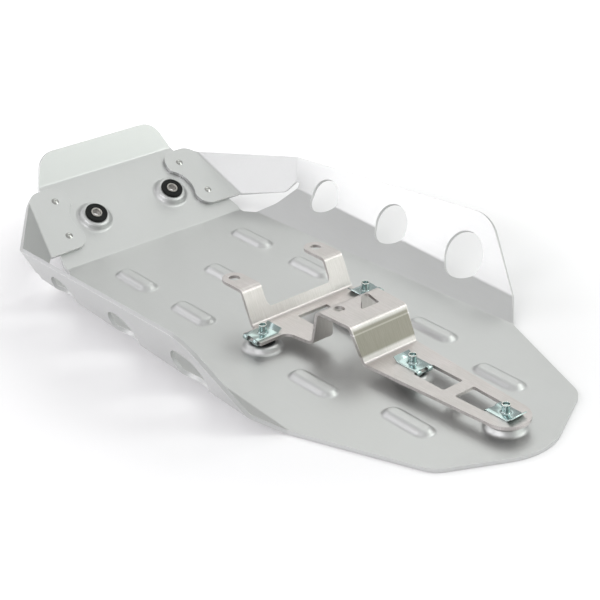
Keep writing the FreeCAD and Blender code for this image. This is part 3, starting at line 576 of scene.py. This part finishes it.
# outline of (radius, height, rounding) corners in mm, each rounded corner drawn as a short curve
def softOutline(corners):
    outline = []
    last = len(corners) - 1
    for index, (radius, height, rounding) in enumerate(corners):
        here = Vector((radius, height))
        if rounding == 0 or index in (0, last):
            outline.append(here)
            continue
        back = (Vector(corners[index - 1][:2]) - here).normalized() * rounding
        ahead = (Vector(corners[index + 1][:2]) - here).normalized() * rounding
        for share in curveShares:
            outline.append(here + back * (1 - share) ** 2 + ahead * share ** 2)
    return outline


# draws (radius, height) points in mm as a chain of edges beside the local z axis
def drawOutline(bm, outline):
    verts = [bm.verts.new((radius * mm, 0.0, height * mm)) for radius, height in outline]
    edges = [bm.edges.new(pair) for pair in zip(verts, verts[1:])]
    return verts + edges


# turns an outline about the local z axis
def turnOutline(bm, outline, steps):
    bmesh.ops.spin(
        bm,
        geom=drawOutline(bm, outline),
        cent=(0.0, 0.0, 0.0),
        axis=up,
        dvec=(0.0, 0.0, 0.0),
        angle=2 * math.pi,
        steps=steps,
        use_merge=True,
    )
    bmesh.ops.remove_doubles(bm, verts=bm.verts, dist=seamGap)


# where a round piece sits: the middle of its box, and the direction of its axis
wallAxis = Vector(mounts["front_wall_sleeves"]["axis"]).normalized()


def seatMatrix(nodeName, axis):
    low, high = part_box(nodeName)
    side = Vector((1.0, 0.0, 0.0))
    turn = Matrix((side, axis.cross(side), axis)).transposed().to_4x4()
    return Matrix.Translation((low + high) / 2) @ turn


def pieceName(nodeName):
    first, *rest = nodeName.split("_")
    return first + "".join(word.capitalize() for word in rest)


def makeTurned(nodeName, axis, outline, shape, material):
    bm = bmesh.new()
    turnOutline(bm, outline, shape["steps"])
    bmesh.ops.transform(bm, matrix=seatMatrix(nodeName, axis), verts=bm.verts)
    makePiece(pieceName(nodeName), bm, material, nodeName, shape["smoothAngle"])


# rubber grommet: two flanges with rounded rims, a neck between them and a ring-shaped groove on top
grommetShape = {
    "flange": 9.5,
    "neck": 6.4,
    "bore": 4.9,
    "top": 3.3,
    "topFlange": 2.4,
    "bottomFlange": 1.2,
    "crown": 0.15,
    "crownRound": 0.8,
    "rimRound": 0.4,
    "underRound": 0.3,
    "boreTopRound": 0.35,
    "boreFootRound": 0.25,
    "grooveStart": 2.1,
    "grooveEnd": 3.1,
    "grooveDepth": 0.3,
    "grooveRound": 0.3,
    "grooveFloorRound": 0.15,
    "steps": 56,
    "smoothAngle": 50.0,
}


def makeGrommet(nodeName, axis):
    shape = grommetShape
    flange, neck, bore, top = shape["flange"], shape["neck"], shape["bore"], shape["top"]
    seat = top - shape["topFlange"]
    under = -top + shape["bottomFlange"]
    outer, inner = flange - shape["grooveStart"], flange - shape["grooveEnd"]
    deep, lip, valley = shape["grooveDepth"], shape["grooveRound"], shape["grooveFloorRound"]
    corners = [
        (bore, 0.0, 0.0),
        (bore, -top, shape["boreFootRound"]),
        (flange, -top, shape["rimRound"]),
        (flange, under, shape["underRound"]),
        (neck, under, 0.0),
        (neck, seat, 0.0),
        (flange, seat, shape["rimRound"]),
        (flange, top - shape["crown"], shape["crownRound"]),
        (outer, top, lip),
        (outer - deep, top - deep, valley),
        (inner + deep, top - deep, valley),
        (inner, top, lip),
        (bore, top, shape["boreTopRound"]),
        (bore, 0.0, 0.0),
    ]
    makeTurned(nodeName, axis, softOutline(corners), shape, mouldedRubber)


# metal sleeve: a turned tube with chamfered ends
sleeveShape = {
    "outside": 4.8,
    "bore": 3.3,
    "top": 3.3,
    "chamfer": 0.3,
    "steps": 48,
    "smoothAngle": 25.0,
}


def makeSleeve(nodeName, axis):
    shape = sleeveShape
    outside, bore, top, cut = shape["outside"], shape["bore"], shape["top"], shape["chamfer"]
    outline = [
        (bore, -top + cut),
        (bore + cut, -top),
        (outside - cut, -top),
        (outside, -top + cut),
        (outside, top - cut),
        (outside - cut, top),
        (bore + cut, top),
        (bore, top - cut),
        (bore, -top + cut),
    ]
    makeTurned(nodeName, axis, outline, shape, turnedSteel)


# rivet: a domed head with the dimple of its drawn pin, a shank, and a plain dome behind
rivetShape = {
    "head": 3.1,
    "rise": 1.2,
    "shank": 1.6,
    "grip": 3.1,
    "rimHeight": 0.12,
    "rimCut": 0.1,
    "ringShares": (0.25, 0.45, 0.65, 0.8, 0.92),
    "dimple": 0.7,
    "dimpleLip": 0.03,
    "dimpleDepth": 0.45,
    "dimpleFloor": 0.8,
    "steps": 40,
    "smoothAngle": 40.0,
}


def makeRivet(nodeName, axis):
    shape = rivetShape
    head, rise, grip, shank = shape["head"], shape["rise"], shape["grip"], shape["shank"]
    ball = (head ** 2 + rise ** 2) / (2 * rise)  # the dome's radius

    def domeHeight(radius):
        return math.sqrt(ball ** 2 - radius ** 2) - ball + rise

    rings = [head * share for share in shape["ringShares"]]
    edge, inset = shape["rimHeight"], head - shape["rimCut"]
    pit, pitFloor = shape["dimple"], grip + rise - shape["dimpleDepth"]
    outline = [(0.0, -grip - rise)]
    outline += [(radius, -grip - domeHeight(radius)) for radius in rings]
    outline += [(head, -grip - edge), (inset, -grip), (shank, -grip)]
    outline += [(shank, grip), (inset, grip), (head, grip + edge)]
    outline += [(radius, grip + domeHeight(radius)) for radius in reversed(rings)]
    outline += [(pit, grip + domeHeight(pit) - shape["dimpleLip"])]
    outline += [(shape["dimpleFloor"] * pit, pitFloor), (0.0, pitFloor)]
    makeTurned(nodeName, axis, outline, shape, rivetAluminium)


# bolt: low head with a hexagonal socket, plain neck, and a rolled thread up to the chamfered tip
boltShape = {
    "head": 6.25,
    "headHeight": 3.2,
    "headRound": 0.9,
    "headRim": 0.3,
    "socket": 2.309,
    "socketSides": 6,
    "socketDepth": 2.2,
    "socketPoint": 0.3,
    "socketChamfer": 0.25,
    "shank": 2.5,
    "core": 2.08,
    "runOut": 0.4,
    "tip": 0.4,
    "chamfer": 0.8,
    "pitch": 0.8,
    "threadStart": 12.0,
    "threadShares": (0.15, 0.45, 0.55, 0.85),
    "threadSteps": 24,
    "steps": 36,
    "smoothAngle": 30.0,
}


def makeBolt(nodeName):
    shape = boltShape
    low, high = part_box(nodeName)
    height = (high.z - low.z) / mm
    head, under, begin = shape["head"], shape["headHeight"], shape["threadStart"]
    shank, core, tip = shape["shank"], shape["core"], shape["tip"]
    socket, deep, cut = shape["socket"], shape["socketDepth"], shape["socketChamfer"]
    corners = [
        (0.0, deep + shape["socketPoint"], 0.0),
        (socket, deep, 0.0),
        (socket, cut, 0.0),
        (socket + cut, 0.0, 0.0),
        (head, 0.0, shape["headRound"]),
        (head, under, shape["headRim"]),
        (shank, under, 0.0),
        (shank, begin, 0.0),
        (core, begin + shape["runOut"], 0.0),
        (core, height - tip, 0.0),
        (core - tip, height, 0.0),
        (0.0, height, 0.0),
    ]
    bm = bmesh.new()
    turnOutline(bm, softOutline(corners), shape["steps"])
    sector = 2 * math.pi / shape["socketSides"]
    for vert in bm.verts:
        radius = math.hypot(vert.co.x, vert.co.y)
        if 0 < radius < (socket + cut + slack) * mm and vert.co.z < (deep + slack) * mm:
            turn = math.atan2(vert.co.y, vert.co.x) % sector - sector / 2
            flat = math.cos(sector / 2) / math.cos(turn)
            vert.co.x *= flat
            vert.co.y *= flat
    addThread(bm, shape, height)
    bmesh.ops.translate(bm, verts=bm.verts, vec=((low.x + high.x) / 2, (low.y + high.y) / 2, low.z))
    makePiece(pieceName(nodeName), bm, zincPlate, nodeName, shape["smoothAngle"])


# one turn of the thread's outline carried up a helix, then drawn in at the chamfered tip
def addThread(bm, shape, height):
    pitch, core, crest = shape["pitch"], shape["core"], shape["shank"]
    begin = shape["threadStart"]
    turns = int((height - begin) / pitch) - 1
    outline = [(core, begin)]
    for radius, share in zip((core, crest, crest, core), shape["threadShares"]):
        outline.append((radius, begin + share * pitch))
    outline.append((core, begin + pitch))
    before = set(bm.verts)
    bmesh.ops.spin(
        bm,
        geom=drawOutline(bm, outline),
        cent=(0.0, 0.0, 0.0),
        axis=up,
        dvec=(0.0, 0.0, pitch * mm / shape["threadSteps"]),
        angle=2 * math.pi * turns,
        steps=shape["threadSteps"] * turns,
        use_merge=False,
    )
    added = [vert for vert in bm.verts if vert not in before]
    for vert in added:
        radius = math.hypot(vert.co.x, vert.co.y)
        room = (crest + height - shape["chamfer"]) * mm - vert.co.z
        if radius > room:
            vert.co.x *= room / radius
            vert.co.y *= room / radius
    bmesh.ops.remove_doubles(bm, verts=added, dist=weldGap)


# clip nut: a folded spring-steel leaf with rounded rims, and a drawn barrel with a crimped rim
clipShape = {
    "leaf": 1.0,
    "height": 6.7,
    "bore": 2.55,
    "boreRound": 0.25,
    "rim": 3.2,
    "rimHeight": 1.4,
    "rimRound": 0.3,
    "brightDepth": 0.5,
    "brightMark": 1.0,
    "barrel": 2.95,
    "neckDrop": 0.25,
    "neckRound": 0.2,
    "flare": 1.3,
    "flareRound": 0.6,
    "kneeOut": 0.35,
    "kneeHeight": 0.45,
    "kneeRound": 0.35,
    "foot": 4.25,
    "crimp": 0.09,
    "crimps": 3,
    "crimpDrop": 0.1,
    "steps": 48,
}
# the clip leaves' rounded rims all get a faint painted highlight
clipRounding = {
    **sheetRounding,
    "radius": 0.18 * mm,
    "rimMark": 0.35,
    "lowMark": 0.35,
    "cutWidth": 0.8 * mm,
    "brightAbove": 60.0 * mm,  # above all the clips, so their cut faces stay plain
}


# the barrel is turned about the local axis, given a painted highlight on top, crimped, and set on the
# leaf
def addBarrel(bm, shape, leafFoot):
    leafVerts = set(bm.verts)
    wall, base = shape["barrel"], shape["leaf"]
    rise = base + shape["height"]
    neck = rise - shape["rimHeight"]
    corners = [
        (shape["bore"], 0.0, 0.0),
        (shape["bore"], rise, shape["boreRound"]),
        (shape["rim"], rise, shape["rimRound"]),
        (shape["rim"], neck, shape["neckRound"]),
        (wall, neck - shape["neckDrop"], shape["neckRound"]),
        (wall, base + shape["flare"], shape["flareRound"]),
        (wall + shape["kneeOut"], base + shape["kneeHeight"], shape["kneeRound"]),
        (shape["foot"], base, 0.0),
    ]
    turnOutline(bm, softOutline(corners), shape["steps"])
    rim = bm.faces.layers.float["rim"]
    # the barrel's top faces carry a painted highlight
    for face in bm.faces:
        onTop = face.calc_center_median().z > (rise - shape["brightDepth"]) * mm
        if onTop and leafVerts.isdisjoint(face.verts):
            face[rim] = shape["brightMark"]
    for vert in bm.verts:
        if vert in leafVerts:
            continue
        if vert.co.z > (neck - shape["crimpDrop"]) * mm:
            turn = math.atan2(vert.co.y, vert.co.x)
            squeeze = 1 - shape["crimp"] * max(0.0, math.cos(shape["crimps"] * turn)) ** 2
            vert.co.x *= squeeze
            vert.co.y *= squeeze
        vert.co.z += leafFoot


def makeClipNut(nodeName, boltName):
    shape = clipShape
    low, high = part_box(boltName)
    axisX, axisY = (low.x + high.x) / 2, (low.y + high.y) / 2
    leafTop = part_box(nodeName)[1].z - shape["height"] * mm
    reach = (shape["foot"] + slack) * mm
    bm = mergedCopy(nodeName)
    plainBarrel = []
    for vert in bm.verts:
        apart = math.hypot(vert.co.x - axisX, vert.co.y - axisY)
        if apart < reach and vert.co.z > leafTop + slack * mm:
            plainBarrel.append(vert)
    bmesh.ops.delete(bm, geom=plainBarrel, context="VERTS")
    roundCorners(bm, clipRounding)
    bmesh.ops.translate(bm, verts=bm.verts, vec=(-axisX, -axisY, 0.0))
    addBarrel(bm, shape, leafTop - shape["leaf"] * mm)
    bmesh.ops.translate(bm, verts=bm.verts, vec=(axisX, axisY, 0.0))
    makePiece(pieceName(nodeName), bm, zincPlate, nodeName, clipRounding["smoothAngle"])


# what is fixed to the front wall stands square to it, and the rest stands upright
for name in sorted(nodes):
    axis = wallAxis if "wall" in name or name.startswith("rivet") else up
    if name.startswith("grommet"):
        makeGrommet(name, axis)
    elif name.startswith("sleeve"):
        makeSleeve(name, axis)
    elif name.startswith("rivet"):
        makeRivet(name, axis)
    elif name.startswith("bolt"):
        makeBolt(name)
    elif name.startswith("clip_nut"):
        makeClipNut(name, name.replace("clip_nut", "bolt"))
print("mounts, bolts, clip nuts and rivets done")


# floor and light, in metres: the paper floor glows more with distance from the middle
studio = {
    "floorSize": 60.0,
    "floorDrop": 0.3 * mm,
    "floorColour": (0.86, 0.852, 0.862),
    "floorRough": 0.9,
    "nearGlow": 0.09,
    "farGlow": 0.42,
    "glowStart": 0.2,
    "glowEnd": 0.42,
    "skyColour": (0.985, 0.99, 0.985),
    "skyStrength": 0.55,
    "lampAim": (0.0, 0.0, 0.03),
}


def makePaper():
    material, tree, shader = newMaterial("paperFloor")
    setInputs(shader, {
        "Base Color": (*studio["floorColour"], 1.0),
        "Roughness": studio["floorRough"],
        "Specular IOR Level": 0.0,
    })
    path = addNode(tree, "ShaderNodeLightPath")
    seen = addNode(tree, "ShaderNodeMath", operation="MAXIMUM")
    seenThrough = addNode(tree, "ShaderNodeMath", operation="MAXIMUM")
    wire(tree, path, "Is Camera Ray", seen, 0)
    wire(tree, path, "Is Glossy Ray", seen, 1)
    wire(tree, seen, 0, seenThrough, 0)
    wire(tree, path, "Is Transmission Ray", seenThrough, 1)
    coords = addNode(tree, "ShaderNodeTexCoord")
    far = addNode(tree, "ShaderNodeVectorMath", operation="LENGTH")
    spread = stepMask(tree, far, "Value", studio["glowStart"], studio["glowEnd"])
    setInputs(spread, {"To Min": studio["nearGlow"], "To Max": studio["farGlow"]})
    wire(tree, coords, "Object", far, 0)
    level = productOf(tree, seenThrough, spread)
    glow = addNode(tree, "ShaderNodeEmission")
    both = addNode(tree, "ShaderNodeAddShader")
    wire(tree, level, 0, glow, "Strength")
    wire(tree, shader, 0, both, 0)
    wire(tree, glow, 0, both, 1)
    wire(tree, both, 0, tree.nodes["Material Output"], "Surface")
    return material


def makeFloor():
    bm = bmesh.new()
    bmesh.ops.create_grid(bm, x_segments=1, y_segments=1, size=studio["floorSize"] / 2)
    bmesh.ops.translate(bm, verts=bm.verts, vec=(0.0, 0.0, cadLow.z - studio["floorDrop"]))
    mesh = bpy.data.meshes.new("studioFloor")
    bm.to_mesh(mesh)
    bm.free()
    mesh.materials.append(makePaper())
    addObject("studioFloor", mesh)


def makeSky():
    world = bpy.data.worlds.new("studioSky")
    bpy.context.scene.world = world
    world.use_nodes = True
    background = world.node_tree.nodes["Background"]
    setInputs(background, {"Color": (*studio["skyColour"], 1.0), "Strength": studio["skyStrength"]})


softboxes = [
    {
        "name": "keyBox", "place": (1.45, -1.3, 0.42), "width": 1.3, "height": 0.6, "power": 10.2,
        "tint": (0.99, 0.98, 1.0),
    },
    {
        "name": "farBox", "place": (0.75, -1.3, 1.2), "width": 1.4, "height": 0.6, "power": 3.6,
        "tint": (0.975, 0.955, 1.0),
    },
    {
        "name": "leftBox", "place": (1.5, 0.45, 0.9), "width": 1.0, "height": 0.9, "power": 8.2,
        "tint": (0.985, 0.97, 1.0),
    },
    {
        "name": "topBox", "place": (-0.5, 0.2, 1.7), "width": 1.6, "height": 1.6, "power": 3.8,
        "tint": (0.955, 1.0, 0.965),
    },
    {
        "name": "backBox", "place": (-1.1, -1.05, 1.4), "width": 1.2, "height": 0.8, "power": 3.7,
        "tint": (0.972, 1.0, 0.962),
    },
    {
        "name": "rimBox", "place": (-0.96, 0.72, 1.02), "width": 0.6, "height": 0.45, "power": 3.6,
        "tint": (0.975, 1.0, 0.97),
    },
    {
        "name": "rightBox", "place": (-1.05, 1.25, 0.55), "width": 1.7, "height": 0.9, "power": 4.7,
        "tint": (0.905, 1.0, 0.92),
    },
]


def makeSoftbox(box):
    data = bpy.data.lights.new(box["name"], "AREA")
    data.shape = "RECTANGLE"
    data.size = box["width"]
    data.size_y = box["height"]
    data.energy = box["power"]
    data.color = box["tint"]
    lamp = addObject(box["name"], data)
    lamp.location = box["place"]
    aim = Vector(studio["lampAim"]) - Vector(box["place"])
    lamp.rotation_euler = aim.to_track_quat("-Z", "Y").to_euler()


makeFloor()
makeSky()
for box in softboxes:
    makeSoftbox(box)

# camera of the photograph: where it stands, where it looks, and its lens on a 36 mm wide sensor
view = {
    "place": (0.6708, 0.78066, 0.5519),
    "back": (0.5824, 0.6671, 0.4646),
    "right": (-0.7533, 0.6577, 0.0),
    "lens": 90.378,
    "sensor": 36.0,
    "clipStart": 0.05,
}


def makeCamera():
    data = bpy.data.cameras.new("photoCamera")
    data.lens = view["lens"]
    data.sensor_width = view["sensor"]
    data.clip_start = view["clipStart"]
    camera = addObject("photoCamera", data)
    back = Vector(view["back"]).normalized()
    right = Vector(view["right"]).normalized()
    turn = Matrix((right, back.cross(right), back)).transposed().to_4x4()
    camera.matrix_world = Matrix.Translation(view["place"]) @ turn
    bpy.context.scene.camera = camera


makeCamera()
bpy.context.scene.view_settings.view_transform = "Standard"
print("studio ready")
